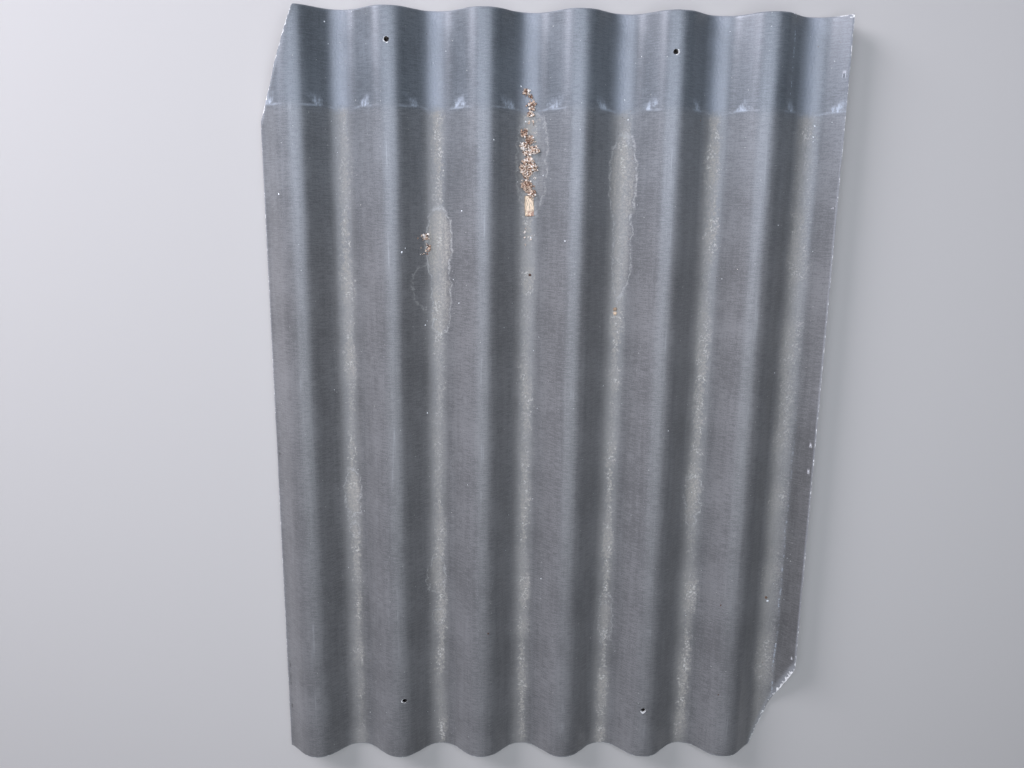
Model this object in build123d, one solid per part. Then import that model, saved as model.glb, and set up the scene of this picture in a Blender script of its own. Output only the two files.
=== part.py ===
from build123d import *
from math import atan, ceil, cos, degrees, sin
import os

# A corrugated fibre-cement roofing sheet, taken off a roof, lying flat with its weather face up.
# X runs across the waves, +Y points to the upper end of the sheet on the roof, and +Z is up.
# The origin is under the middle of the sheet, level with the undersides of the valleys.
# All sizes are in millimetres.

# Size of the sheet
sheet_length = 1525.0
sheet_width = 1097.0
sheet_thickness = 6.5

# Wave section, measured on the weather face
wave_pitch = 177.0
wave_height = 51.0
flank_length = 35.0
first_crest_inset = 66.5

# Factory mitres at the two corners where four sheets would otherwise lie on each other
mitre_across = 76.0
mitre_along = 200.0

# Fixing holes, drilled on the roof through the second and the fifth crest near both ends
hole_diameter = 9.0
left_fixing_crest = 2
right_fixing_crest = 5
top_left_hole_inset = 58.0
top_right_hole_inset = 72.0
bottom_left_hole_inset = 136.0
bottom_right_hole_inset = 114.0
top_left_hole_drift = 1.0
top_right_hole_drift = -5.0
bottom_left_hole_drift = 13.0
bottom_right_hole_drift = -5.0

# One half wave is an arc, a straight flank and an equal arc, all tangent.
# The flank's slope and the arcs' radius follow from the pitch, the height and the flank's length.
half_pitch = wave_pitch / 2
flank_slope = 2 * atan(wave_height / (half_pitch + flank_length))
bend_radius = (half_pitch - flank_length * cos(flank_slope)) / (2 * sin(flank_slope))
overall_height = wave_height + sheet_thickness

left_edge = -sheet_width / 2
right_edge = sheet_width / 2
top_edge = sheet_length / 2
bottom_edge = -sheet_length / 2


def crest_x(number):
    return left_edge + first_crest_inset + (number - 1) * wave_pitch


def wave_line(crest_radius, valley_radius):
    # Both faces share the arcs' centres, so the sheet keeps its thickness round every bend.
    # The line runs past both side edges, where the outline trims it.
    arc_angle = 2 * degrees(flank_slope)
    crest_centre_z = overall_height - bend_radius
    valley_centre_z = sheet_thickness + bend_radius
    crest_count = ceil(sheet_width / wave_pitch) + 2
    arcs = []
    for number in range(crest_count):
        crest_centre = (crest_x(number), crest_centre_z)
        valley_centre = (crest_x(number) + half_pitch, valley_centre_z)
        arcs.append(CenterArc(crest_centre, crest_radius, 90 + arc_angle / 2, -arc_angle))
        arcs.append(CenterArc(valley_centre, valley_radius, 270 - arc_angle / 2, arc_angle))
    flanks = [Line(first @ 1, second @ 0) for first, second in zip(arcs, arcs[1:])]
    return arcs, flanks


def wave_section():
    upper_arcs, upper_flanks = wave_line(bend_radius, bend_radius)
    lower_arcs, lower_flanks = wave_line(bend_radius - sheet_thickness, bend_radius + sheet_thickness)
    start_cap = Line(upper_arcs[0] @ 0, lower_arcs[0] @ 0)
    end_cap = Line(upper_arcs[-1] @ 1, lower_arcs[-1] @ 1)
    edges = upper_arcs + upper_flanks + lower_arcs + lower_flanks + [start_cap, end_cap]
    return make_face(edges)


def sheet_outline():
    # The plan of the finished sheet: a rectangle with the two mitred corners cut away
    outline = Polyline(
        (left_edge, bottom_edge),
        (right_edge - mitre_across, bottom_edge),
        (right_edge, bottom_edge + mitre_along),
        (right_edge, top_edge),
        (left_edge + mitre_across, top_edge),
        (left_edge, top_edge - mitre_along),
        close=True,
    )
    return make_face(outline)


def fixing_holes():
    left_crest = crest_x(left_fixing_crest)
    right_crest = crest_x(right_fixing_crest)
    centres = [
        (left_crest + top_left_hole_drift, top_edge - top_left_hole_inset),
        (right_crest + top_right_hole_drift, top_edge - top_right_hole_inset),
        (left_crest + bottom_left_hole_drift, bottom_edge + bottom_left_hole_inset),
        (right_crest + bottom_right_hole_drift, bottom_edge + bottom_right_hole_inset),
    ]
    return Locations(*centres).locations, Circle(hole_diameter / 2)


def corrugated_sheet():
    slab = extrude(Plane.XZ * wave_section(), amount=sheet_length / 2, both=True)
    plan = sheet_outline()
    places, hole = fixing_holes()
    for place in places:
        plan -= place * hole
    return slab & extrude(plan, amount=overall_height)


os.makedirs("parts", exist_ok=True)
sheet = corrugated_sheet()
sheet.label = "corrugated_sheet"
export_step(sheet, "parts/corrugated_sheet.step")
print("bend radius", round(bend_radius, 2), "flank slope", round(degrees(flank_slope), 2))
print("volume", round(sheet.volume), "size", sheet.bounding_box().size)
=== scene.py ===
import math
import random

import bmesh
import bpy
from mathutils import Euler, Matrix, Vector, noise
from mathutils.bvhtree import BVHTree


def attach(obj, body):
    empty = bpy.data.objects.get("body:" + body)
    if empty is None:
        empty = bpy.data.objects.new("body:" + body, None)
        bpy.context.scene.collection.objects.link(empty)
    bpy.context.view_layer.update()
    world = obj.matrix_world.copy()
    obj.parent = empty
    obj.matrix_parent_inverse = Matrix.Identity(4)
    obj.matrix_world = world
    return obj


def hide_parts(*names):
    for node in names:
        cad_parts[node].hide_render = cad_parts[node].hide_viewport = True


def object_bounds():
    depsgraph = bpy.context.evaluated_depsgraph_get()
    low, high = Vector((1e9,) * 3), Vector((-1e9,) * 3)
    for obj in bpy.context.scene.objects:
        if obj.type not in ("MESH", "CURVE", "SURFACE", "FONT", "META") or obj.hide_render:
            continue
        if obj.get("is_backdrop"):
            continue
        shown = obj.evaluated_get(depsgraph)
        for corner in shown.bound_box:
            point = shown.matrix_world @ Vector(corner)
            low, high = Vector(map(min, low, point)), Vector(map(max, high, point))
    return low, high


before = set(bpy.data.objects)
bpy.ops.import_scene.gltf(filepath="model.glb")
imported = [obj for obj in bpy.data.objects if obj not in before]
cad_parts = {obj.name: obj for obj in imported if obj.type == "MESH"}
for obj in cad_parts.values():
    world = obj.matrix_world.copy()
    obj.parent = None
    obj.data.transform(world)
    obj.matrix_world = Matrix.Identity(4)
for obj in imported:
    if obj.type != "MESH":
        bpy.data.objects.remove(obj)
cad_low, cad_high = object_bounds()

# The camera stands over the upper end of the sheet and looks down its length, at the angle of the
# photograph. Its place, turn and lens were worked out from the sheet's edges and waves in that picture.
camera_data = bpy.data.cameras.new("camera")
camera_data.sensor_width = 36.0
camera_data.lens = 29.88
camera = bpy.data.objects.new("camera", camera_data)
camera.location = (-0.1056, 0.4282, 1.6899)
camera.rotation_euler = [math.radians(turn) for turn in (-12.395, -1.099, 0.659)]
bpy.context.scene.collection.objects.link(camera)
bpy.context.scene.camera = camera

# The sheet is one board of fibre cement, pressed into six waves while it was soft, then cured and trimmed.
# It is 6.5 mm thick and lies with its weather face up. Two corners are mitred, and four holes for hook bolts
# were drilled through the crests when it was fixed.
sheet_length = 1.525
sheet_width = 1.097
sheet_thickness = 0.0065
wave_count = 6
wave_pitch = 0.177
wave_height = 0.051
flank_length = 0.035
first_crest_inset = 0.0665
mitre_across = 0.076
mitre_along = 0.2
hole_radius = 0.0045

half_pitch = wave_pitch / 2
flank_slope = 2 * math.atan(wave_height / (half_pitch + flank_length))
bend_radius = (half_pitch - flank_length * math.cos(flank_slope)) / (2 * math.sin(flank_slope))
bend_steps = 5
flank_steps = 5
crest_height = wave_height + sheet_thickness
first_crest = first_crest_inset - sheet_width / 2
first_valley = first_crest + half_pitch
side_edge = sheet_width / 2
end_edge = sheet_length / 2

fixing_holes = [
    Vector((first_crest + wave_pitch + 0.001, end_edge - 0.058)),
    Vector((first_crest + 4 * wave_pitch - 0.005, end_edge - 0.072)),
    Vector((first_crest + wave_pitch + 0.013, -end_edge + 0.136)),
    Vector((first_crest + 4 * wave_pitch - 0.005, -end_edge + 0.114)),
]

mitre_normal = Vector((mitre_along, mitre_across)).normalized()
edge_lines = {
    "left": (Vector((-side_edge, 0)), Vector((-1, 0))),
    "right": (Vector((side_edge, 0)), Vector((1, 0))),
    "top": (Vector((0, end_edge)), Vector((0, 1))),
    "bottom": (Vector((0, -end_edge)), Vector((0, -1))),
    "top_left_mitre": (
        Vector((-side_edge, end_edge - mitre_along)),
        Vector((-mitre_normal.x, mitre_normal.y)),
    ),
    "bottom_right_mitre": (
        Vector((side_edge, mitre_along - end_edge)),
        Vector((mitre_normal.x, -mitre_normal.y)),
    ),
}


def points_in(geometry):
    return [part for part in geometry if isinstance(part, bmesh.types.BMVert)]


def swing(bm, point, centre_x, centre_z, angle, steps):
    arc = bmesh.ops.spin(
        bm,
        geom=[point],
        cent=(centre_x, 0, centre_z),
        axis=(0, 1, 0),
        angle=angle,
        steps=steps,
        use_duplicate=False,
    )
    return points_in(arc["geom_last"])[0]


def run_flank(bm, point, rise):
    step = Vector((math.cos(flank_slope), 0, rise * math.sin(flank_slope))) * flank_length / flank_steps
    for step_number in range(flank_steps):
        point = bmesh.ops.extrude_vert_indiv(bm, verts=[point])["verts"][0]
        bmesh.ops.translate(bm, verts=[point], vec=step)
    return point


def inside_edge(place):
    return min((place.xy - point).dot(-outward) for point, outward in edge_lines.values())


def from_hole(place):
    return min((place.xy - hole).length for hole in fixing_holes)


def new_object(name, bm):
    mesh = bpy.data.meshes.new(name)
    bm.to_mesh(mesh)
    bm.free()
    made = bpy.data.objects.new(name, mesh)
    bpy.context.scene.collection.objects.link(made)
    return made


def trim(bm, point, outward):
    everything = bm.verts[:] + bm.edges[:] + bm.faces[:]
    bmesh.ops.bisect_plane(
        bm, geom=everything, plane_co=point.to_3d(), plane_no=outward.to_3d(), clear_outer=True
    )


sheet_bm = bmesh.new()
through = sheet_bm.verts.layers.float.new("through")
softness_layer = sheet_bm.verts.layers.float.new("softness")
older_layer = sheet_bm.verts.layers.float.new("older_puddle")
puddle_layer = sheet_bm.verts.layers.float_vector.new("puddle")
overrun = 0.03
lengthwise_cuts = 112

# The weather face: one wave from crest to crest, repeated past both side edges and drawn out to the length
start = sheet_bm.verts.new((first_crest - wave_pitch, -end_edge - overrun, crest_height))
crest_centre = crest_height - bend_radius
valley_centre = sheet_thickness + bend_radius
end_of_arc = swing(sheet_bm, start, start.co.x, crest_centre, flank_slope, bend_steps)
end_of_flank = run_flank(sheet_bm, end_of_arc, -1)
valley = first_crest - half_pitch
end_of_arc = swing(sheet_bm, end_of_flank, valley, valley_centre, -2 * flank_slope, 2 * bend_steps)
end_of_flank = run_flank(sheet_bm, end_of_arc, 1)
swing(sheet_bm, end_of_flank, first_crest, crest_centre, flank_slope, bend_steps)
one_wave = sheet_bm.verts[:] + sheet_bm.edges[:]
for number in range(1, wave_count + 1):
    wave = bmesh.ops.duplicate(sheet_bm, geom=one_wave)
    bmesh.ops.translate(sheet_bm, verts=points_in(wave["geom"]), vec=(number * wave_pitch, 0, 0))
bmesh.ops.remove_doubles(sheet_bm, verts=sheet_bm.verts, dist=0.00001)

# Pressed board has no crease where a bend runs out into a flank, so the line is eased and then brought back
# to its height
mid_height = sheet_thickness + wave_height / 2
inner_points = [vert for vert in sheet_bm.verts if len(vert.link_edges) == 2]
for easing in range(4):
    bmesh.ops.smooth_vert(sheet_bm, verts=inner_points, factor=0.5, use_axis_z=True)
eased = max(vert.co.z for vert in inner_points) - mid_height
for vert in inner_points:
    vert.co.z = mid_height + (vert.co.z - mid_height) * wave_height / (2 * eased)
drawn = bmesh.ops.extrude_edge_only(sheet_bm, edges=sheet_bm.edges[:])
bmesh.ops.translate(sheet_bm, verts=points_in(drawn["geom"]), vec=(0, sheet_length + 2 * overrun, 0))
lengthwise = [edge for edge in sheet_bm.edges if abs(edge.verts[0].co.y - edge.verts[1].co.y) > sheet_length]
bmesh.ops.subdivide_edges(sheet_bm, edges=lengthwise, cuts=lengthwise_cuts, use_grid_fill=True)
sheet_bm.normal_update()
if sum(face.normal.z for face in sheet_bm.faces) < 0:
    bmesh.ops.reverse_faces(sheet_bm, faces=sheet_bm.faces)

# A cured sheet is never quite true: its lines wander by half a millimetre and its waves are a little uneven
sideways_wander = 0.0007
unevenness = 0.014
for vert in sheet_bm.verts:
    place = Vector((vert.co.x * 2.1, vert.co.y * 2.6, 0))
    vert.co.x += sideways_wander * noise.noise(place)
    flatten = 0.5 + 0.5 * noise.noise(place * 1.7 + Vector((5, 9, 2)))
    vert.co.z = mid_height + (vert.co.z - mid_height) * (1 - unevenness * flatten)

upper = set(sheet_bm.verts)
bmesh.ops.solidify(sheet_bm, geom=sheet_bm.faces[:], thickness=sheet_thickness)
for vert in sheet_bm.verts:
    vert[through] = 0.0 if vert in upper else 1.0
for face in sheet_bm.faces:
    face.material_index = 3 if all(vert not in upper for vert in face.verts) else 0

# Trimming: the saw goes straight down along the six edges, and the cut faces close the board
for point, outward in edge_lines.values():
    trim(sheet_bm, point, outward)
open_edges = [edge for edge in sheet_bm.edges if edge.is_boundary]
walls = bmesh.ops.bridge_loops(sheet_bm, edges=open_edges)["faces"]
for face in walls:
    middle = face.calc_center_median()
    near = min(edge_lines, key=lambda name: abs((middle.xy - edge_lines[name][0]).dot(edge_lines[name][1])))
    face.material_index = 2 if "mitre" in near else 1
bmesh.ops.recalc_face_normals(sheet_bm, faces=sheet_bm.faces)

# The arris all round is broken off by half a millimetre, and the mesh is made finer along it and round the
# holes. Very short edges left where the saw crossed the mesh go first, or they would hold the bevel back.
shortest_edge = 0.0013
broken_off = 0.0006
fine_by_edge = 0.008
fine_by_hole = 0.016
bmesh.ops.dissolve_degenerate(sheet_bm, edges=sheet_bm.edges[:], dist=shortest_edge)
arris = [
    edge
    for edge in sheet_bm.edges
    if len(edge.link_faces) == 2 and len({face.material_index in (1, 2) for face in edge.link_faces}) == 2
]
bmesh.ops.bevel(
    sheet_bm,
    geom=arris,
    offset=broken_off,
    affect="EDGES",
    segments=2,
    profile=0.5,
    material=-1,
    clamp_overlap=True,
)
for fineness in (0.008, 0.0045):
    near_edge = [
        edge
        for edge in sheet_bm.edges
        if edge.calc_length() > fineness
        and (
            min(inside_edge(vert.co) for vert in edge.verts) < fine_by_edge
            or min(from_hole(vert.co) for vert in edge.verts) < fine_by_hole
        )
    ]
    bmesh.ops.subdivide_edges(sheet_bm, edges=near_edge, cuts=1, use_grid_fill=True)
    bmesh.ops.dissolve_degenerate(sheet_bm, edges=sheet_bm.edges[:], dist=0.00003)

# Wear along the arris: sawn edges are ragged, and the mitres, which take the knocks, are chipped
worn_margin = 0.006
raggedness = {
    "left": 0.0004,
    "right": 0.0007,
    "top": 0.0005,
    "bottom": 0.0007,
    "top_left_mitre": 0.0012,
    "bottom_right_mitre": 0.0028,
}
for vert in sheet_bm.verts:
    if inside_edge(vert.co) > worn_margin:
        continue
    push = Vector((0, 0, 0))
    for name, (point, outward) in edge_lines.items():
        inside = (vert.co.xy - point).dot(-outward)
        if inside > worn_margin:
            continue
        near = 1 - inside / worn_margin
        rough = noise.noise(vert.co * 90) + 0.6 * noise.noise(vert.co * 240)
        chip = max(0.0, noise.noise(vert.co * 28 + Vector((3, 3, 3))) - 0.12)
        amount = raggedness[name] * near * (0.45 + 0.4 * rough + 2.2 * chip)
        top_only = 1 - 0.6 * vert[through]
        push -= outward.to_3d() * max(0.0, amount) * top_only
        push.z -= raggedness[name] * near * chip * 1.6 * (1 - 2 * vert[through])
    vert.co += push

# Where puddles stood in the valleys and dried: in metres on the sheet, centre across and along, half width,
# half length, then how ragged, how strong and how soft. Each point of the mesh keeps its depth inside the
# nearest one, from nothing far away to the full reach at its middle. The coating's material draws the stains
# from that.
puddles = {
    "second_valley_head": (-0.2145, 0.3380, 0.0255, 0.0720, 0.55, 1.00, 0.30),
    "second_valley_tail": (-0.2110, 0.2350, 0.0200, 0.0830, 0.90, 0.80, 0.45),
    "fourth_valley_head": (0.1400, 0.4600, 0.0260, 0.0900, 0.50, 0.72, 0.30),
    "fourth_valley_tail": (0.1430, 0.3300, 0.0185, 0.0950, 0.90, 0.55, 0.55),
    "first_valley": (-0.3960, -0.1750, 0.0170, 0.0530, 1.20, 0.85, 0.50),
    "first_valley_foot": (-0.3960, -0.2570, 0.0120, 0.0170, 1.20, 0.60, 0.60),
    "second_valley_low": (-0.2235, -0.3580, 0.0185, 0.0420, 1.30, 0.55, 0.60),
    "second_valley_foot": (-0.2220, -0.4550, 0.0140, 0.0200, 1.20, 0.45, 0.60),
    "fifth_valley": (0.3120, -0.1850, 0.0180, 0.0580, 1.30, 0.65, 0.60),
    "fourth_valley_foot": (0.1380, -0.4550, 0.0160, 0.0600, 1.30, 0.40, 0.70),
    "third_valley": (-0.0370, 0.4900, 0.0300, 0.0980, 0.62, 0.20, 0.30),
}
older_puddle = (-0.2330, 0.2540, 0.0320, 0.0480)
puddle_reach = 3.0


def puddle_depth(place, centre_x, centre_y, half_width, half_length):
    off_x = abs(place.x - centre_x) / half_width
    off_y = abs(place.y - centre_y) / half_length
    return max(0.0, puddle_reach - (off_x ** 2 + off_y ** 2.8) ** 0.45)


for vert in sheet_bm.verts:
    deepest = 0.0
    for *outline, roughened, strength, softness in puddles.values():
        depth = puddle_depth(vert.co, *outline)
        if depth > deepest:
            deepest = depth
            vert[puddle_layer] = (depth, roughened, strength)
            vert[softness_layer] = softness
    vert[older_layer] = puddle_depth(vert.co, *older_puddle)

sharpest_smooth_edge = math.radians(34)
for edge in sheet_bm.edges:
    edge.smooth = edge.calc_face_angle(0.0) < sharpest_smooth_edge
for face in sheet_bm.faces:
    face.smooth = True
sheet = new_object("sheet", sheet_bm)

# The holes: a 9 mm masonry drill came through from above and burst the underside out round each one. Each
# step of the cutting shape goes that much deeper and is that much wider than the one before.
drill_start = 0.07
drill_steps = ((0.0125, 1.22), (0.0004, 0.86), (0.0040, 1.0), (0.0018, 1.35), (0.0400, 2.2))
drill_bm = bmesh.new()
for hole in fixing_holes:
    ring = bmesh.ops.create_circle(drill_bm, segments=28, radius=hole_radius)["verts"]
    bmesh.ops.translate(drill_bm, verts=ring, vec=(hole.x, hole.y, drill_start))
    rim = [edge for edge in drill_bm.edges if all(vert in ring for vert in edge.verts)]
    bmesh.ops.contextual_create(drill_bm, geom=rim)
    for depth, spread in drill_steps:
        drawn = bmesh.ops.extrude_edge_only(drill_bm, edges=rim)["geom"]
        ring = points_in(drawn)
        rim = [part for part in drawn if isinstance(part, bmesh.types.BMEdge)]
        rim = [edge for edge in rim if all(vert in ring for vert in edge.verts)]
        for vert in ring:
            away = vert.co.xy - hole
            uneven = 1 + 0.07 * noise.noise(vert.co * 260)
            vert.co.xy = hole + away * spread * uneven
            vert.co.z -= depth
    bmesh.ops.contextual_create(drill_bm, geom=rim)
bmesh.ops.recalc_face_normals(drill_bm, faces=drill_bm.faces)
for face in drill_bm.faces:
    face.material_index = 2
drill = new_object("drill", drill_bm)


def feed(tree, socket, value):
    if isinstance(value, bpy.types.NodeSocket):
        tree.links.new(value, socket)
    else:
        socket.default_value = value


def maths(tree, operation, first, second=0.0):
    node = tree.nodes.new("ShaderNodeMath")
    node.operation = operation
    for socket, value in zip(node.inputs, (first, second)):
        feed(tree, socket, value)
    return node.outputs[0]


def chain(tree, operation, values):
    result = values[0]
    for value in values[1:]:
        result = maths(tree, operation, result, value)
    return result


def plus(tree, *values):
    return chain(tree, "ADD", values)


def product(tree, *values):
    return chain(tree, "MULTIPLY", values)


def largest(tree, *values):
    return chain(tree, "MAXIMUM", values)


def least(tree, *values):
    return chain(tree, "MINIMUM", values)


def minus(tree, first, second):
    return maths(tree, "SUBTRACT", first, second)


def gap(tree, first, second):
    return maths(tree, "ABSOLUTE", minus(tree, first, second))


def fade(tree, value, start, end, low=0.0, high=1.0):
    node = tree.nodes.new("ShaderNodeMapRange")
    node.interpolation_type = "SMOOTHSTEP"
    for socket, number in zip(node.inputs, (value, start, end, low, high)):
        feed(tree, socket, number)
    return node.outputs[0]


def stored(tree, name, output="Fac"):
    node = tree.nodes.new("ShaderNodeAttribute")
    node.attribute_name = name
    return node.outputs[output]


def split(tree, vector):
    node = tree.nodes.new("ShaderNodeSeparateXYZ")
    feed(tree, node.inputs[0], vector)
    return node.outputs


def stretch(tree, where, scale, shift=(0, 0, 0)):
    node = tree.nodes.new("ShaderNodeVectorMath")
    node.operation = "MULTIPLY_ADD"
    for socket, value in zip(node.inputs, (where, scale, shift)):
        feed(tree, socket, value)
    return node.outputs["Vector"]


def grain(tree, where, scale, detail=2.0, roughness=0.5, dimensions="3D"):
    node = tree.nodes.new("ShaderNodeTexNoise")
    node.noise_dimensions = dimensions
    feed(tree, node.inputs["Vector"], where)
    node.inputs["Scale"].default_value = scale
    node.inputs["Detail"].default_value = detail
    node.inputs["Roughness"].default_value = roughness
    return node.outputs[0]


def blend(tree, amount, first, second):
    node = tree.nodes.new("ShaderNodeMix")
    node.data_type = "RGBA"
    feed(tree, node.inputs[0], amount)
    feed(tree, node.inputs[6], first)
    feed(tree, node.inputs[7], second)
    return node.outputs[2]


def tint(tree, colour, amount):
    node = tree.nodes.new("ShaderNodeVectorMath")
    node.operation = "SCALE"
    feed(tree, node.inputs[0], colour)
    feed(tree, node.inputs["Scale"], amount)
    return node.outputs[0]


def new_group(name, takes, gives):
    group = bpy.data.node_groups.new(name, "ShaderNodeTree")
    for socket_name, kind, value in takes:
        socket = group.interface.new_socket(socket_name, in_out="INPUT", socket_type="NodeSocket" + kind)
        if value is not None:
            socket.default_value = value
    for socket_name, kind in gives:
        group.interface.new_socket(socket_name, in_out="OUTPUT", socket_type="NodeSocket" + kind)
    return group, group.nodes.new("NodeGroupInput").outputs, group.nodes.new("NodeGroupOutput").inputs


def place_group(tree, group, **values):
    node = tree.nodes.new("ShaderNodeGroup")
    node.node_tree = group
    for name, value in values.items():
        feed(tree, node.inputs[name.replace("_", " ")], value)
    return node.outputs


def new_material(name):
    material = bpy.data.materials.new(name)
    material.use_nodes = True
    tree = material.node_tree
    shader = tree.nodes["Principled BSDF"]
    where = tree.nodes.new("ShaderNodeTexCoord").outputs["Object"]
    return material, tree, shader, where


def finish(tree, shader, colour, roughness):
    feed(tree, shader.inputs["Base Color"], colour)
    feed(tree, shader.inputs["Roughness"], roughness)


def relief(tree, shader, height):
    node = tree.nodes.new("ShaderNodeBump")
    node.inputs["Distance"].default_value = 0.001
    feed(tree, node.inputs["Height"], height)
    feed(tree, shader.inputs["Normal"], node.outputs["Normal"])


# Bare fibre cement, wherever it shows: fine sandy grey with paler lime and darker fibre bundles in it
cement_group, takes, gives = new_group(
    "bare cement",
    [
        ("Place", "Vector", None),
        ("Pale", "Color", (0.5, 0.48, 0.44, 1)),
        ("Dark", "Color", (0.25, 0.24, 0.22, 1)),
    ],
    [("Color", "Color"), ("Height", "Float")],
)
sand = grain(cement_group, takes["Place"], 900, 3, 0.65)
lime = grain(cement_group, takes["Place"], 55, 4, 0.6)
fibres = grain(cement_group, stretch(cement_group, takes["Place"], (1500, 190, 500)), 1, 2)
cement_tone = plus(cement_group, product(cement_group, sand, 0.45), product(cement_group, lime, 0.55))
cement_tone = fade(cement_group, cement_tone, 0.36, 0.64)
cement_tone = product(cement_group, cement_tone, fade(cement_group, fibres, 0.30, 0.42, 0.55, 1.0))
feed(cement_group, gives["Color"], blend(cement_group, cement_tone, takes["Dark"], takes["Pale"]))
feed(cement_group, gives["Height"], plus(cement_group, sand, product(cement_group, fibres, 0.5)))

# How far a point is in from the sheet's outline. An edge that is chipped all along starts that much further
# in, and a distance that counts for more is an edge that is worn less
edge_wear = {
    "left": (0.0, 1.3),
    "right": (0.0, 1.0),
    "top": (0.0, 4.0),
    "bottom": (0.0, 1.2),
    "top_left_mitre": (0.0009, 0.7),
    "bottom_right_mitre": (0.0026, 0.40),
}
outline_group, takes, gives = new_group(
    "inside the outline",
    [("Place", "Vector", None)],
    [("Distance", "Float")],
)
insides = []
for name, (point, outward) in edge_lines.items():
    dot = outline_group.nodes.new("ShaderNodeVectorMath")
    dot.operation = "DOT_PRODUCT"
    feed(outline_group, dot.inputs[0], takes["Place"])
    dot.inputs[1].default_value = (-outward).to_3d()
    chipped, weight = edge_wear[name]
    inside = plus(outline_group, dot.outputs["Value"], point.dot(outward) - chipped)
    insides.append(product(outline_group, inside, weight))
feed(outline_group, gives["Distance"], least(outline_group, *insides))

# How far a point is from the nearest fixing hole's centre, or on the weather face from a point beside it,
# towards the side where more of the rim is knocked off
rim_lean = [
    Vector((-0.0008, -0.0006)),
    Vector((0.0017, 0.0002)),
    Vector((-0.0014, -0.0008)),
    Vector((0.0, -0.0018)),
]


def nearest_hole(name, leans):
    group, group_takes, group_gives = new_group(name, [("Place", "Vector", None)], [("Distance", "Float")])
    flat_place = stretch(group, group_takes["Place"], (1, 1, 0))
    distances = []
    for hole, lean in zip(fixing_holes, leans):
        measure = group.nodes.new("ShaderNodeVectorMath")
        measure.operation = "DISTANCE"
        feed(group, measure.inputs[0], flat_place)
        measure.inputs[1].default_value = (hole + lean).to_3d()
        distances.append(measure.outputs["Value"])
    feed(group, group_gives["Distance"], least(group, *distances))
    return group


hole_group = nearest_hole("round the holes", [Vector((0, 0))] * len(fixing_holes))
rim_group = nearest_hole("round the worn rims", rim_lean)

# A stain that a puddle left in a valley, with a pale rim where it dried. Depth is how far inside its outline
# a point is, as the mesh has it. Ragged pushes the outline about, and Softness is how far in the stain has
# its full strength.
stain_group, takes, gives = new_group(
    "dried puddle",
    [
        ("Depth", "Float", 0.0),
        ("Ragged", "Float", 0.0),
        ("Softness", "Float", 0.3),
    ],
    [("Inside", "Float"), ("Rim", "Float")],
)
spread = plus(stain_group, minus(stain_group, puddle_reach, takes["Depth"]), takes["Ragged"])
full = minus(stain_group, 1.0, takes["Softness"])
feed(stain_group, gives["Inside"], fade(stain_group, spread, 1.0, full))
rim_gap = gap(stain_group, spread, 0.97)
feed(stain_group, gives["Rim"], fade(stain_group, rim_gap, 0.10, 0.02))

# The weather face's finish: a satin anthracite coating, chalked where the sky reached it and bluer under the
# end lap and the side lap. Rain has left a pale band of silt and lichen along each valley.
coat_material, tree, shader, where = new_material("weathered_coating")
across, along = split(tree, where)[:2]
flat_where = stretch(tree, where, (1, 1, 0))
end_lap = 0.5915
side_lap = 0.5135

scallops = grain(tree, where, 48, 3, 0.62, "2D")
blotches = grain(tree, where, 9, 3, 0.55, "2D")
mottle = fade(tree, grain(tree, where, 210, 2, 0.75, "2D"), 0.38, 0.62)
streaks = grain(tree, stretch(tree, where, (150, 7, 0)), 1, 2, 0.6, "2D")
bloom = grain(tree, where, 420, 2, 0.7, "2D")
combing = grain(tree, stretch(tree, where, (60, 420, 0)), 1, 2, 0.6, "2D")
grit = grain(tree, where, 120, 3, 0.7, "2D")
fine_ragged = product(tree, minus(tree, grit, 0.5), 0.45)
ragged = plus(tree, minus(tree, scallops, 0.5), fine_ragged)

# Where the end lap and the side lap were, and so where the face is weathered
lap_wobble = product(tree, ragged, 0.003)
true_from_valley = maths(tree, "PINGPONG", minus(tree, across, first_valley), half_pitch)
lap_sag = fade(tree, true_from_valley, 0.036, 0.010, 0.0, 0.004)
lap_bend = plus(tree, lap_wobble, lap_sag)
from_lap = plus(tree, minus(tree, along, end_lap), lap_bend)
below_lap = fade(tree, plus(tree, from_lap, product(tree, lap_wobble, 3.0)), 0.012, -0.014)
side_place = plus(tree, across, product(tree, lap_wobble, 2.0))
right_of_lap = product(
    tree,
    fade(tree, side_place, side_lap - 0.004, side_lap + 0.005),
    fade(tree, along, 0.10, -0.20, 0.12, 0.80),
)
weathered = product(tree, below_lap, minus(tree, 1.0, right_of_lap))

# The coating's tone: streaks down the sheet, broad blotches, fine bloom, and roller marks across it
tone = plus(
    tree,
    product(tree, streaks, 0.12),
    product(tree, blotches, 0.20),
    product(tree, bloom, 0.36),
    product(tree, combing, 0.32),
)
tone = fade(tree, tone, 0.38, 0.62, 0.74, 1.26)
covered_low = (0.084, 0.080, 0.076, 1)
covered_high = (0.094, 0.102, 0.108, 1)
weathered_low = (0.123, 0.119, 0.115, 1)
weathered_high = (0.114, 0.117, 0.118, 1)
covered_colour = blend(tree, fade(tree, along, 0.46, 0.60), covered_low, covered_high)
weathered_colour = blend(tree, fade(tree, along, 0.20, 0.66), weathered_low, weathered_high)
coat_colour = tint(tree, blend(tree, weathered, covered_colour, weathered_colour), tone)

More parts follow.
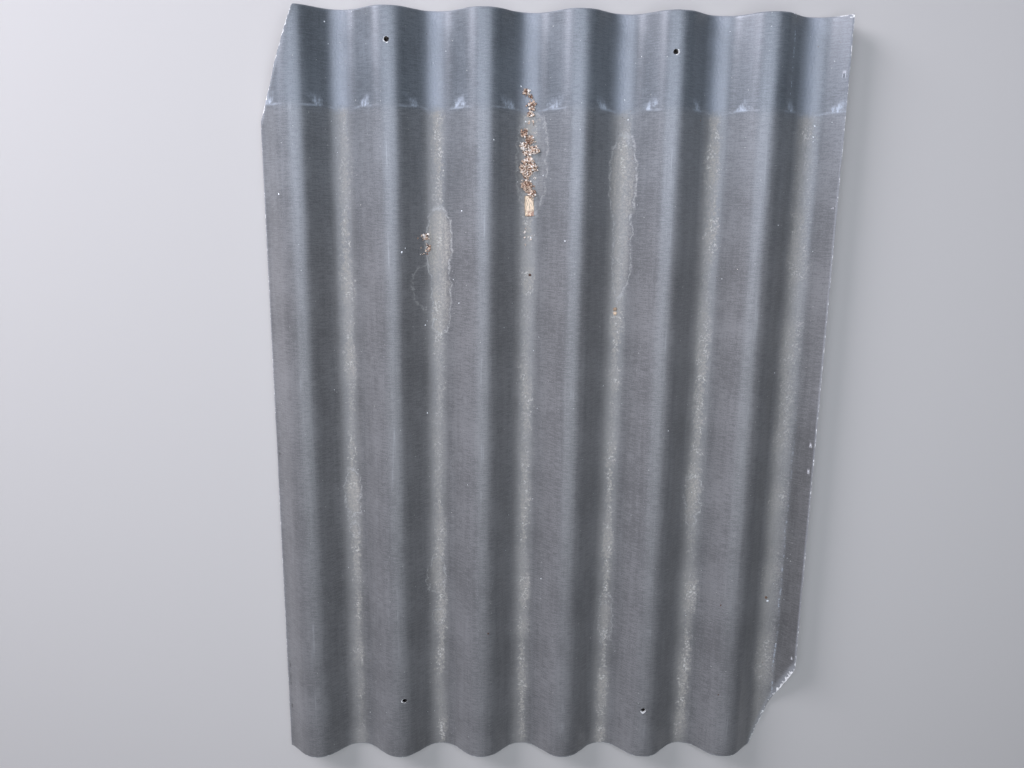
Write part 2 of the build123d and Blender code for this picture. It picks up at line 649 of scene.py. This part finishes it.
# Dust lies widest and softest in the valleys, and the silt line runs along the middle of it. Under the lap
# the valleys carry a pale bluish painted highlight instead, standing in for the sky's reflection. The silt
# line is wider in the two valleys on the right.
dust_gap = maths(tree, "PINGPONG", minus(tree, across, first_valley - 0.0055), half_pitch)
dust = product(
    tree,
    fade(tree, dust_gap, 0.029, -0.002),
    fade(tree, blotches, 0.30, 0.65, 0.50, 0.68),
    fade(tree, weathered, 0.0, 1.0, 0.22, 1.0),
)
# Painted highlight: a pale bluish band along each valley under the lap, in place of the sky's reflection
valley_sheen_gap = maths(tree, "PINGPONG", minus(tree, across, first_valley - 0.0050), half_pitch)
painted_valley_sheen = product(
    tree,
    fade(tree, valley_sheen_gap, 0.030, -0.002),
    minus(tree, 1.0, weathered),
    fade(tree, blotches, 0.3, 0.7, 0.48, 0.66),
)
slow_drift = grain(tree, stretch(tree, where, (4, 3.1, 0)), 1, 1, 0.5, "2D")
wander = product(tree, minus(tree, slow_drift, 0.5), 0.014)
wandering = plus(tree, minus(tree, across, first_valley), wander)
from_valley = maths(tree, "PINGPONG", wandering, half_pitch)
silt_width = plus(
    tree,
    fade(tree, blotches, 0.34, 0.66, 0.0070, 0.0170),
    fade(tree, across, 0.26, 0.29, 0.0, 0.003),
    fade(tree, across, 0.43, 0.46, 0.0, 0.011),
)
crumble = product(tree, minus(tree, grit, 0.5), 0.034)
silt = fade(tree, plus(tree, from_valley, crumble), silt_width, product(tree, silt_width, 0.10))
patches = grain(tree, stretch(tree, where, (11, 12, 0), (7, 0, 0)), 1, 1, 0.5, "2D")
silt = product(
    tree,
    silt,
    fade(tree, patches, 0.36, 0.64, 0.30, 1.0),
    fade(tree, mottle, 0, 1, 0.34, 1.0),
    fade(tree, weathered, 0, 1, 0.10, 1.0),
    fade(tree, across, 0.43, 0.46, 1.0, 0.6),
)

# The crusts of dried puddles, and the tide marks round them. The older puddle shows only at its left.
depth, roughened, strength = split(tree, stored(tree, "puddle", "Vector"))
stain = place_group(
    tree,
    stain_group,
    Depth=depth,
    Ragged=product(tree, ragged, roughened),
    Softness=stored(tree, "softness"),
)
crust = product(tree, stain["Inside"], strength)
tide = product(tree, stain["Rim"], plus(tree, product(tree, strength, 0.5), 0.5))
older_depth = stored(tree, "older_puddle")
older_stain = place_group(tree, stain_group, Depth=older_depth, Ragged=product(tree, ragged, 0.7))
older_rim = product(tree, older_stain["Rim"], fade(tree, across, -0.232, -0.240), 0.6)
tide = largest(tree, tide, older_rim)
tide = product(tree, tide, fade(tree, grit, 0.40, 0.58, 0.15, 1.0))
runs = fade(tree, streaks, 0.35, 0.62, 0.72, 1.0)
film = product(
    tree,
    crust,
    runs,
    fade(tree, mottle, 0, 1, 0.46, 1.0),
    fade(tree, scallops, 0.36, 0.56, 0.72, 1.0),
)

surface = blend(tree, dust, coat_colour, (0.248, 0.232, 0.209, 1))
# Blend in the painted valley highlight under the lap
surface = blend(tree, painted_valley_sheen, surface, (0.255, 0.275, 0.308, 1))
surface = blend(tree, product(tree, silt, 0.80), surface, (0.325, 0.298, 0.254, 1))
surface = blend(tree, product(tree, film, 0.84), surface, (0.350, 0.318, 0.268, 1))
lime_dots = product(tree, silt, fade(tree, mottle, 0.62, 1.0), fade(tree, scallops, 0.50, 0.62))
surface = blend(tree, product(tree, lime_dots, 0.60), surface, (0.54, 0.51, 0.46, 1))
surface = blend(tree, product(tree, tide, 0.60), surface, (0.40, 0.385, 0.355, 1))

# Marks of the laps: a faint broken line where the end lap stopped, smears up both flanks of every valley
# where it rubbed, and dotted lines down the right where the side lap stopped
each_flank = fade(tree, blotches, 0.36, 0.60, 0.70, 1.0)
lap_line = product(
    tree,
    fade(tree, maths(tree, "ABSOLUTE", from_lap), 0.0036, 0.0004),
    fade(tree, true_from_valley, 0.080, 0.050),
    fade(tree, true_from_valley, 0.008, 0.034, 0.05, 0.6),
    fade(tree, scallops, 0.40, 0.60, 0.15, 0.8),
    each_flank,
)
smudge = grain(tree, stretch(tree, where, (230, 70, 0)), 1, 3, 0.65, "2D")
rub_gap = minus(tree, true_from_valley, fade(tree, from_lap, 0.0, 0.026, 0.0415, 0.0515))
rub_gap = plus(tree, rub_gap, product(tree, ragged, 0.030))
rub = product(
    tree,
    fade(tree, maths(tree, "ABSOLUTE", rub_gap), 0.0125, 0.0),
    fade(tree, from_lap, 0.027, 0.002),
    fade(tree, from_lap, -0.004, 0.002),
)
rub = product(tree, rub, fade(tree, smudge, 0.36, 0.60, 0.24, 1.0))
foot_gap = plus(tree, minus(tree, true_from_valley, 0.0445), product(tree, ragged, 0.016))
rub_foot = product(
    tree,
    fade(tree, gap(tree, from_lap, 0.002), 0.0034, 0.0005),
    fade(tree, maths(tree, "ABSOLUTE", foot_gap), 0.0042, 0.0008),
    fade(tree, smudge, 0.40, 0.56),
)
scuff = largest(tree, lap_line, product(tree, rub, each_flank), rub_foot)
dots = fade(tree, grit, 0.48, 0.62)
side_wobble = product(tree, minus(tree, blotches, 0.5), 0.012)
side_gap = maths(tree, "ABSOLUTE", plus(tree, minus(tree, across, side_lap), side_wobble))
side_line = product(
    tree,
    fade(tree, side_gap, 0.0022, 0.0006),
    dots,
    fade(tree, along, 0.06, -0.10),
    fade(tree, blotches, 0.36, 0.60, 0.15, 0.6),
)
upper_rub = 0.4440
upper_gap = gap(tree, across, upper_rub)
upper_line = product(tree, fade(tree, upper_gap, 0.0022, 0.0008), dots, fade(tree, from_lap, -0.002, 0.002))
scuff = largest(tree, scuff, side_line, upper_line)
surface = blend(tree, product(tree, scuff, 0.78), surface, (0.385, 0.42, 0.46, 1))

# Crests rubbed along their tops in the stack
crest_gap = gap(tree, minus(tree, half_pitch, true_from_valley), 0.002)
crest_wear = product(
    tree,
    fade(tree, crest_gap, 0.0026, 0.0005),
    fade(tree, streaks, 0.50, 0.70),
    fade(tree, blotches, 0.50, 0.64),
    weathered,
)
surface = blend(tree, product(tree, crest_wear, 0.35), surface, (0.30, 0.30, 0.295, 1))

# Pinhead spots of lichen and lime, thinly scattered
spots = tree.nodes.new("ShaderNodeTexVoronoi")
spots.voronoi_dimensions = "2D"
feed(tree, spots.inputs["Vector"], flat_where)
spots.inputs["Scale"].default_value = 38
chance = tree.nodes.new("ShaderNodeSeparateColor")
feed(tree, chance.inputs[0], spots.outputs["Color"])
spot_size = fade(tree, chance.outputs[0], 0.40, 1.0, 0.0, 0.046)
speck = product(
    tree,
    fade(tree, spots.outputs["Distance"], spot_size, product(tree, spot_size, 0.6)),
    maths(tree, "GREATER_THAN", chance.outputs[0], 0.46),
    chance.outputs[1],
)
surface = blend(tree, product(tree, speck, 0.7), surface, (0.42, 0.41, 0.38, 1))

# Where the coating is knocked off, along the arris and round the holes, the cement shows
right_edge_chips = (0.723, 0.702, -0.024, -0.056, -0.089, -0.137, -0.158, -0.301, -0.548)
top_edge_chip = 0.4430
chip_margin = 0.006
edge_reach = fade(tree, grit, 0.42, 0.72, 0.0, 0.0017)
chip = 0.0
for chip_place in right_edge_chips:
    chip_gap = gap(tree, along, chip_place)
    chip = largest(tree, fade(tree, chip_gap, 0.006, 0.001, 0.0, 0.0020), chip)
at_right = maths(tree, "GREATER_THAN", across, side_edge - chip_margin)
chip = product(tree, chip, at_right, fade(tree, grit, 0.3, 0.6, 0.2, 1.0))
crest_chip = fade(tree, gap(tree, across, top_edge_chip), 0.010, 0.003, 0.0, 0.0100)
corner_chip = fade(tree, across, 0.512, 0.540, 0.0, 0.0090)
top_chip = largest(tree, crest_chip, corner_chip)
at_top = maths(tree, "GREATER_THAN", along, end_edge - chip_margin)
top_chip = product(tree, top_chip, at_top, fade(tree, grit, 0.3, 0.6, 0.1, 1.0))
edge_reach = largest(tree, edge_reach, chip, top_chip)
from_outline = place_group(tree, outline_group, Place=where)["Distance"]
worn_edge = maths(tree, "LESS_THAN", from_outline, edge_reach)
top_arris = fade(tree, minus(tree, end_edge, along), 0.0030, 0.0014, 0.0, 0.85)
rubbed_arris = largest(tree, fade(tree, from_outline, 0.0045, 0.0010), top_arris)
surface = blend(tree, product(tree, rubbed_arris, 0.35), surface, (0.26, 0.265, 0.27, 1))
rim_reach = fade(tree, grit, 0.34, 0.66, hole_radius - 0.0006, hole_radius + 0.0018)
worn_rim = maths(tree, "LESS_THAN", place_group(tree, rim_group, Place=where)["Distance"], rim_reach)
worn = largest(tree, worn_edge, worn_rim)
surface = blend(tree, worn, surface, blend(tree, mottle, (0.36, 0.35, 0.33, 1), (0.60, 0.585, 0.55, 1)))

# Roughness: the coating is satin, and duller where anything dry lies on it or it is rubbed
dull_dust = product(tree, dust, 0.55)
dull_tide = product(tree, tide, 0.6)
dull_scuff = product(tree, scuff, 0.8)
dry = largest(tree, dull_dust, silt, film, dull_tide, dull_scuff, worn, rubbed_arris)
satin = plus(
    tree,
    fade(tree, weathered, 0, 1, 0.38, 0.37),
    fade(tree, blotches, 0.3, 0.7, -0.025, 0.025),
    product(tree, rubbed_arris, 0.15),
    product(tree, dry, 0.42),
)
finish(tree, shader, surface, satin)
shader.inputs["IOR"].default_value = 1.62

height = plus(
    tree,
    product(tree, bloom, 0.06),
    product(tree, combing, 0.05),
    product(tree, mottle, fade(tree, dust_gap, 0.022, 0.0, 0.0, 0.22)),
)
relief(tree, shader, height)

# The side and end edges were dipped with the face, but the coating there is thin and knocked through to the
# pale board in places. The board's felted layers show as fine lines along the cut.
felt_layer = 0.055


def felted_layers(tree, where):
    depth_in_board = plus(tree, stored(tree, "through"), product(tree, grain(tree, where, 60, 3), 0.25))
    return fade(tree, maths(tree, "PINGPONG", depth_in_board, felt_layer), 0.0, 0.03)


edge_material, tree, shader, where = new_material("coated_edge")
layer_lines = felted_layers(tree, where)
chips = fade(tree, grain(tree, where, 95, 4, 0.7), 0.55, 0.59)
cement = place_group(tree, cement_group, Place=where, Pale=(0.60, 0.58, 0.54, 1), Dark=(0.30, 0.29, 0.27, 1))
edge_coat = tint(tree, (0.085, 0.085, 0.085), fade(tree, grain(tree, where, 300, 3), 0.3, 0.7, 0.75, 1.3))
edge_colour = blend(tree, chips, edge_coat, cement["Color"])
finish(tree, shader, edge_colour, fade(tree, chips, 0, 1, 0.55, 0.92))
height = plus(tree, product(tree, layer_lines, 0.16), product(tree, cement["Height"], 0.2))
relief(tree, shader, minus(tree, height, product(tree, chips, 0.25)))

# The mitres and the holes were cut after coating, so they are bare: pale laminated cement, greyed by weather
cut_material, tree, shader, where = new_material("bare_cut")
layer_lines = felted_layers(tree, where)
cement = place_group(tree, cement_group, Place=where, Pale=(0.62, 0.60, 0.56, 1), Dark=(0.33, 0.32, 0.30, 1))
grime = fade(tree, grain(tree, where, 26, 4, 0.6), 0.46, 0.68)
cut_colour = blend(tree, product(tree, grime, 0.75), cement["Color"], (0.17, 0.16, 0.14, 1))
cut_colour = blend(tree, fade(tree, layer_lines, 0.0, 1.0, 0.35, 0.0), cut_colour, (0.2, 0.19, 0.17, 1))
finish(tree, shader, cut_colour, fade(tree, grime, 0, 1, 0.95, 0.8))
height = plus(tree, product(tree, layer_lines, 0.2), product(tree, cement["Height"], 0.35))
relief(tree, shader, height)

# The underside was never coated: grey cement with the weave of the maker's felt pressed into it, water
# marks, and a breath of black from the spray along the edges
under_material, tree, shader, where = new_material("bare_underside")
pale_cement = (0.36, 0.35, 0.325, 1)
dark_cement = (0.22, 0.215, 0.20, 1)
cement = place_group(tree, cement_group, Place=where, Pale=pale_cement, Dark=dark_cement)
water = fade(tree, grain(tree, stretch(tree, where, (26, 3, 0)), 1, 4, 0.6), 0.44, 0.70)
damp = fade(tree, grain(tree, where, 5, 4, 0.6), 0.42, 0.66)
under_colour = blend(tree, product(tree, water, 0.35), cement["Color"], (0.47, 0.46, 0.43, 1))
under_colour = blend(tree, product(tree, damp, 0.4), under_colour, (0.15, 0.145, 0.125, 1))
from_outline = place_group(tree, outline_group, Place=where)["Distance"]
drift = product(tree, grain(tree, where, 70, 4), 0.024)
overspray = fade(tree, plus(tree, from_outline, drift), 0.026, 0.010)
under_colour = blend(tree, product(tree, overspray, 0.8), under_colour, (0.085, 0.085, 0.085, 1))
from_hole_centre = place_group(tree, hole_group, Place=where)["Distance"]
burst_reach = fade(tree, grain(tree, where, 160, 3), 0.3, 0.7, 0.006, 0.013)
burst = maths(tree, "LESS_THAN", from_hole_centre, burst_reach)
under_colour = blend(tree, product(tree, burst, 0.6), under_colour, (0.5, 0.48, 0.45, 1))
finish(tree, shader, under_colour, 0.9)
felt = tree.nodes.new("ShaderNodeTexWave")
felt.bands_direction = "Y"
feed(tree, felt.inputs["Vector"], where)
felt.inputs["Scale"].default_value = 110
felt.inputs["Distortion"].default_value = 2.0
felt_across = grain(tree, stretch(tree, where, (700, 90, 300)), 1, 2)
height = plus(
    tree,
    product(tree, felt.outputs["Fac"], 0.12),
    product(tree, felt_across, 0.12),
    product(tree, cement["Height"], 0.10),
)
relief(tree, shader, height)

for material in (coat_material, edge_material, cut_material, under_material):
    sheet.data.materials.append(material)
    drill.data.materials.append(material)
boring = sheet.modifiers.new("holes", "BOOLEAN")
boring.operation = "DIFFERENCE"
boring.solver = "EXACT"
boring.object = drill
depsgraph = bpy.context.evaluated_depsgraph_get()
bored = bpy.data.meshes.new_from_object(
    sheet.evaluated_get(depsgraph), preserve_all_data_layers=True, depsgraph=depsgraph
)
sheet.modifiers.clear()
sheet.data = bored
bored.name = "sheet"
bpy.data.objects.remove(drill)
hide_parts("corrugated_sheet")
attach(sheet, "root")

# Dried moss that rain washed down and left in the valleys: clumps of curled shreds, cream to rust
# brown, each tangled round a darker crumb, with loose shreds between them. Both seeds are fixed: the noise
# module's own would otherwise be the clock's.
draw_seed = 41
random.seed(draw_seed)
noise.seed_set(draw_seed)
corners = [vert.co for vert in sheet.data.vertices]
sheet_tree = BVHTree.FromPolygons(corners, [face.vertices[:] for face in sheet.data.polygons])

# Each clump: where it lies across and along, how wide, how long, and how pale
moss_clumps = {
    "top": (-0.0480, 0.6230, 0.012, 0.012, 0.66),
    "top_crumb": (-0.0390, 0.6130, 0.006, 0.007, 0.45),
    "star": (-0.0385, 0.5980, 0.016, 0.014, 0.55),
    "under_star": (-0.0400, 0.5840, 0.012, 0.012, 0.68),
    "dark_left": (-0.0510, 0.5470, 0.013, 0.016, 0.50),
    "red": (-0.0410, 0.5360, 0.014, 0.018, 0.50),
    "cream_left": (-0.0505, 0.5240, 0.017, 0.014, 0.80),
    "cream_right": (-0.0320, 0.5170, 0.020, 0.015, 0.76),
    "cream_under": (-0.0440, 0.5110, 0.018, 0.012, 0.76),
    "middle": (-0.0430, 0.4970, 0.020, 0.014, 0.70),
    "left": (-0.0520, 0.4840, 0.013, 0.018, 0.74),
    "ring": (-0.0350, 0.4840, 0.019, 0.018, 0.66),
    "below_ring": (-0.0460, 0.4720, 0.020, 0.012, 0.68),
    "brown": (-0.0450, 0.4510, 0.021, 0.024, 0.56),
    "brown_right": (-0.0350, 0.4350, 0.017, 0.018, 0.52),
    "second_valley": (-0.2400, 0.3520, 0.009, 0.013, 0.72),
    "second_valley_brown": (-0.2340, 0.3300, 0.007, 0.011, 0.40),
}
ray_start = 0.2
moss_bm = bmesh.new()
moss_bm.verts.layers.float.new("shade")


def surface_at(x, y):
    return sheet_tree.ray_cast(Vector((x, y, ray_start)), Vector((0, 0, -1)))[0]


def own_place():
    return Vector((random.random(), random.random(), random.random())) * 50


def join_in(whole, part, turned, place, shade):
    layer = part.verts.layers.float.new("shade")
    bmesh.ops.rotate(part, verts=part.verts, cent=(0, 0, 0), matrix=turned.to_matrix())
    bmesh.ops.translate(part, verts=part.verts, vec=place)
    for vert in part.verts:
        vert[layer] = shade
    bmesh.ops.recalc_face_normals(part, faces=part.faces)
    for face in part.faces:
        face.smooth = True
    carrier = bpy.data.meshes.new("carrier")
    part.to_mesh(carrier)
    part.free()
    whole.from_mesh(carrier)
    bpy.data.meshes.remove(carrier)


def crumb(wide, long, high, rough, fineness):
    lump = bmesh.new()
    bmesh.ops.create_icosphere(lump, subdivisions=fineness, radius=0.5)
    apart_from_others = own_place()
    for vert in lump.verts:
        vert.co *= 1 + rough * noise.noise(vert.co * 3 + apart_from_others)
        vert.co = Vector((vert.co.x * wide, vert.co.y * long, vert.co.z * high))
    return lump


def shred(width, radius, curl):
    strip = bmesh.new()
    point = strip.verts.new((0, -width / 2, 0))
    for step in range(2):
        point = bmesh.ops.extrude_vert_indiv(strip, verts=[point])["verts"][0]
        point.co.y += width / 2
    bmesh.ops.spin(
        strip, geom=strip.verts[:] + strip.edges[:], cent=(0, 0, radius), axis=(0, 1, 0), angle=curl, steps=6
    )
    apart_from_others = own_place()
    for vert in strip.verts:
        torn = noise.noise_vector(vert.co / radius * 1.1 + apart_from_others)
        vert.co += torn * radius * 0.42
    return strip


def scatter_shreds(bm, x, y, wide, long, high, count, pale):
    for number in range(count):
        turn = random.uniform(0, 2 * math.pi)
        out = math.sqrt(random.random())
        ground = surface_at(x + 0.5 * wide * out * math.cos(turn), y + 0.5 * long * out * math.sin(turn))
        lift = Vector((0, 0, high * (1 - out ** 2) * random.uniform(0.25, 0.95) + 0.0004))
        tilt = Euler((random.uniform(-0.9, 0.9), random.uniform(-1.2, 1.2), random.uniform(0, 2 * math.pi)))
        width = random.uniform(0.0013, 0.0036)
        radius = random.uniform(0.0012, 0.0029)
        piece = shred(width, radius, random.uniform(1.6, 4.6))
        shade = min(1.0, max(0.0, random.gauss(pale, 0.24)))
        join_in(bm, piece, tilt, ground + lift, shade)


core_shade = 0.15
fewest_shreds = 6
area_for_a_shred = 0.0000062
shred_thickness = 0.00028
for x, y, wide, long, pale in moss_clumps.values():
    high = 0.30 * (wide + long)
    core = crumb(wide * 0.8, long * 0.8, high * 0.8, 0.5, 2)
    turned = Euler((0, 0, random.uniform(0, 3)))
    join_in(moss_bm, core, turned, surface_at(x, y) + Vector((0, 0, high * 0.12)), core_shade)
    count = max(fewest_shreds, int(wide * long / area_for_a_shred))
    scatter_shreds(moss_bm, x, y, wide, long, high, count, pale)
scatter_shreds(moss_bm, -0.042, 0.515, 0.026, 0.190, 0.0, 34, 0.7)
scatter_shreds(moss_bm, -0.243, 0.345, 0.024, 0.060, 0.0, 14, 0.8)
scatter_shreds(moss_bm, -0.046, 0.352, 0.022, 0.044, 0.0, 7, 0.9)

moss = new_object("dried_moss", moss_bm)
thickness = moss.modifiers.new("thickness", "SOLIDIFY")
thickness.thickness = shred_thickness
thickness.offset = 0

moss_material, tree, shader, where = new_material("dried_moss")
patches = fade(tree, grain(tree, where, 500, 3, 0.6), 0.3, 0.7, -0.22, 0.22)
ramp = tree.nodes.new("ShaderNodeValToRGB")
feed(tree, ramp.inputs[0], plus(tree, stored(tree, "shade"), patches))
moss_tones = {
    0.0: (0.085, 0.045, 0.030, 1),
    0.25: (0.270, 0.140, 0.085, 1),
    0.50: (0.560, 0.370, 0.255, 1),
    0.80: (0.790, 0.625, 0.480, 1),
    1.0: (0.900, 0.820, 0.730, 1),
}
for stop, (position, colour) in enumerate(moss_tones.items()):
    if stop < 2:
        entry = ramp.color_ramp.elements[stop]
        entry.position = position
    else:
        entry = ramp.color_ramp.elements.new(position)
    entry.color = colour
finish(tree, shader, ramp.outputs["Color"], 0.72)
moss.data.materials.append(moss_material)
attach(moss, "root")

# A scrap of dead leaf caught at the foot of the moss, straw-coloured and papery. Its left side is turned up,
# its lower end is rolled, and the lower right is stained brown.
leaf_width = 0.0215
leaf_length = 0.0465
leaf_thickness = 0.0003
leaf_place = (-0.0410, 0.4085)
leaf_bm = bmesh.new()
bmesh.ops.create_grid(leaf_bm, x_segments=10, y_segments=14, size=0.5)
for vert in leaf_bm.verts:
    side, end = vert.co.x, vert.co.y
    ragged_edge = 0.0016 * noise.noise(Vector((side * 5, end * 6, 3)))
    turned_up = max(0.0, -side - 0.26)
    rolled = max(0.0, -end - 0.30)
    arch = 0.0020 * math.cos(side * 3.0)
    crumple = 0.0012 * noise.noise(Vector((side * 4, end * 5, 8)))
    narrowing = 1 - 0.22 * max(0.0, end) - 0.5 * rolled
    vert.co = Vector((
        (side + 0.75 * turned_up) * leaf_width * narrowing + ragged_edge,
        (end + 0.9 * rolled) * leaf_length + ragged_edge,
        0.0010 + arch + 0.017 * turned_up + 0.016 * rolled + crumple,
    ))
bmesh.ops.rotate(leaf_bm, verts=leaf_bm.verts, cent=(0, 0, 0), matrix=Euler((0.05, 0.0, 0.06)).to_matrix())
bmesh.ops.translate(leaf_bm, verts=leaf_bm.verts, vec=surface_at(*leaf_place))
for face in leaf_bm.faces:
    face.smooth = True
leaf = new_object("dead_leaf", leaf_bm)
thickness = leaf.modifiers.new("thickness", "SOLIDIFY")
thickness.thickness = leaf_thickness
leaf_material, tree, shader, where = new_material("dead_leaf")
veins = fade(tree, grain(tree, stretch(tree, where, (620, 160, 0)), 1, 2, 0.6), 0.36, 0.56, 0.45, 1.0)
leaf_colour = tint(tree, (0.86, 0.66, 0.46), veins)
across, along = split(tree, where)[:2]
stained = product(
    tree,
    fade(tree, along, 0.4060, 0.4000),
    fade(tree, across, -0.0450, -0.0410),
    fade(tree, grain(tree, where, 190, 3), 0.34, 0.50, 0.0, 0.9),
)
finish(tree, shader, blend(tree, stained, leaf_colour, (0.36, 0.20, 0.14, 1)), 0.6)
leaf.data.materials.append(leaf_material)
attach(leaf, "root")

# Flecks of lime and grit stuck to the coating, and a few seeds and droppings. Each is a small flattened
# crumb, kept under the height of the crests.
lime_flecks = {
    "left_edge": (-0.5120, 0.4290, 0.0040),
    "first_flank_top": (-0.4220, 0.7400, 0.0032),
    "beside_crust": (-0.2830, 0.3240, 0.0042),
    "beside_crust_small": (-0.2770, 0.3310, 0.0022),
    "crust_right": (-0.1690, 0.4020, 0.0030),
    "crust_right_low": (-0.1750, 0.2250, 0.0024),
    "crust_left": (-0.2430, 0.1790, 0.0034),
    "crust_left_small": (-0.2390, 0.1870, 0.0020),
    "below_crust": (-0.2410, -0.0010, 0.0034),
    "first_flank": (-0.4260, 0.0470, 0.0022),
    "third_flank": (-0.1090, 0.5320, 0.0024),
    "moss_left": (-0.0590, 0.6320, 0.0032),
    "moss_left_low": (-0.0490, 0.5690, 0.0034),
    "moss_right": (-0.0140, 0.4700, 0.0026),
    "under_moss": (-0.0360, 0.3520, 0.0036),
    "fourth_flank": (0.0280, 0.3480, 0.0028),
    "lap_line": (0.1380, 0.6110, 0.0026),
    "under_lap_line": (0.1460, 0.5750, 0.0026),
    "side_lap": (0.5040, 0.5680, 0.0042),
    "side_lap_low": (0.5030, 0.5480, 0.0036),
    "side_lap_dot": (0.5035, 0.5390, 0.0022),
    "right_flank": (0.4370, 0.3820, 0.0024),
    "right_flank_low": (0.4610, 0.0880, 0.0024),
    "fifth_flank": (0.2440, -0.0250, 0.0024),
    "fourth_valley_low": (0.1360, -0.3860, 0.0028),
    "third_flank_low": (-0.0030, -0.3590, 0.0024),
    "droppings": (0.4890, -0.4170, 0.0060),
    "seed_husk": (0.1350, 0.2045, 0.0082),
}
dark_flecks = {
    "seed": (0.1345, 0.2135, 0.0088, 0.34),
    "berry": (0.4850, -0.4090, 0.0072, 0.22),
    "third_valley_seed": (-0.0360, 0.2790, 0.0058, 0.10),
    "right_spot": (0.3760, -0.4070, 0.0046, 0.0),
    "right_spot_low": (0.3830, -0.6140, 0.0042, 0.0),
    "third_flank_spot": (-0.1140, -0.4690, 0.0050, 0.0),
}
husk_shade = 0.66
stray_flecks = 150
stray_shades = (0.0, 0.25, 0.8, 0.9, 1.0)
height_limit = cad_high[2] - 0.0001


def stick_fleck(bm, x, y, size, shade):
    ground = surface_at(x, y)
    high = min(size * 0.45, 2 * (height_limit - ground.z))
    if high > 0.0003:
        piece = crumb(size, size * random.uniform(0.7, 1.3), high, 0.6, 1)
        join_in(bm, piece, Euler((0, 0, random.uniform(0, 3))), ground, shade)


fleck_bm = bmesh.new()
fleck_bm.verts.layers.float.new("shade")
for name, (x, y, size) in lime_flecks.items():
    stick_fleck(fleck_bm, x, y, size, husk_shade if name == "seed_husk" else 1.0)
for x, y, size, shade_value in dark_flecks.values():
    stick_fleck(fleck_bm, x, y, size, shade_value)
for number in range(stray_flecks):
    valley = first_valley + wave_pitch * random.randrange(wave_count)
    x = random.gauss(valley, 0.030)
    y = random.uniform(-0.74, 0.74)
    if inside_edge(Vector((x, y, 0))) > 0.01 and from_hole(Vector((x, y, 0))) > 0.01:
        size = random.uniform(0.0009, 0.0019)
        stick_fleck(fleck_bm, x, y, size, random.choice(stray_shades))
flecks = new_object("flecks", fleck_bm)
fleck_material, tree, shader, where = new_material("lime_flecks")
shade = stored(tree, "shade")
seed_brown = (0.075, 0.035, 0.022, 1)
husk_cream = (0.66, 0.47, 0.30, 1)
lime_white = (0.80, 0.80, 0.78, 1)
fleck_colour = blend(tree, fade(tree, shade, 0.10, 0.60), seed_brown, husk_cream)
fleck_colour = blend(tree, fade(tree, shade, 0.60, 0.95), fleck_colour, lime_white)
finish(tree, shader, fleck_colour, 0.8)
flecks.data.materials.append(fleck_material)
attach(flecks, "root")

# The floor is a plain pale studio floor. Two long softboxes hang over the sheet, the front one weaker, and a
# tall bright one stands past its upper left corner. All are oval, so that their reflections have soft ends.
floor_reach = 6
floor_bm = bmesh.new()
bmesh.ops.create_grid(floor_bm, x_segments=2, y_segments=2, size=floor_reach)
floor = new_object("floor", floor_bm)
floor_material, tree, shader, where = new_material("floor")
finish(tree, shader, (0.40, 0.375, 0.345, 1), 0.9)
floor.data.materials.append(floor_material)
floor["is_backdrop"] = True


def softbox(name, place, aim, width, length, watts, colour):
    light = bpy.data.lights.new(name, "AREA")
    light.shape = "ELLIPSE"
    light.size = width
    light.size_y = length
    light.energy = watts
    light.color = colour
    holder = bpy.data.objects.new(name, light)
    holder.location = place
    holder.rotation_euler = (Vector(aim) - Vector(place)).to_track_quat("-Z", "Y").to_euler()
    holder.visible_camera = False
    bpy.context.scene.collection.objects.link(holder)


softbox("overhead", (-0.03, 0.91, 3.07), (0, 0, 0), 4.3, 1.6, 113, (0.748, 0.828, 1.0))
softbox("front", (-0.03, -0.75, 3.10), (0, 0, 0), 4.3, 1.6, 34, (0.841, 0.917, 1.0))
softbox("left", (-3.3, 2.7, 1.72), (0, 0, 0), 2.1, 2.7, 352, (0.842, 0.855, 1.0))
world = bpy.data.worlds.new("room")
world.use_nodes = True
background = world.node_tree.nodes["Background"].inputs
background["Color"].default_value = (0.94, 0.97, 1.0, 1)
background["Strength"].default_value = 0.01
bpy.context.scene.world = world
bpy.context.scene.view_settings.view_transform = "Standard"

low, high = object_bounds()
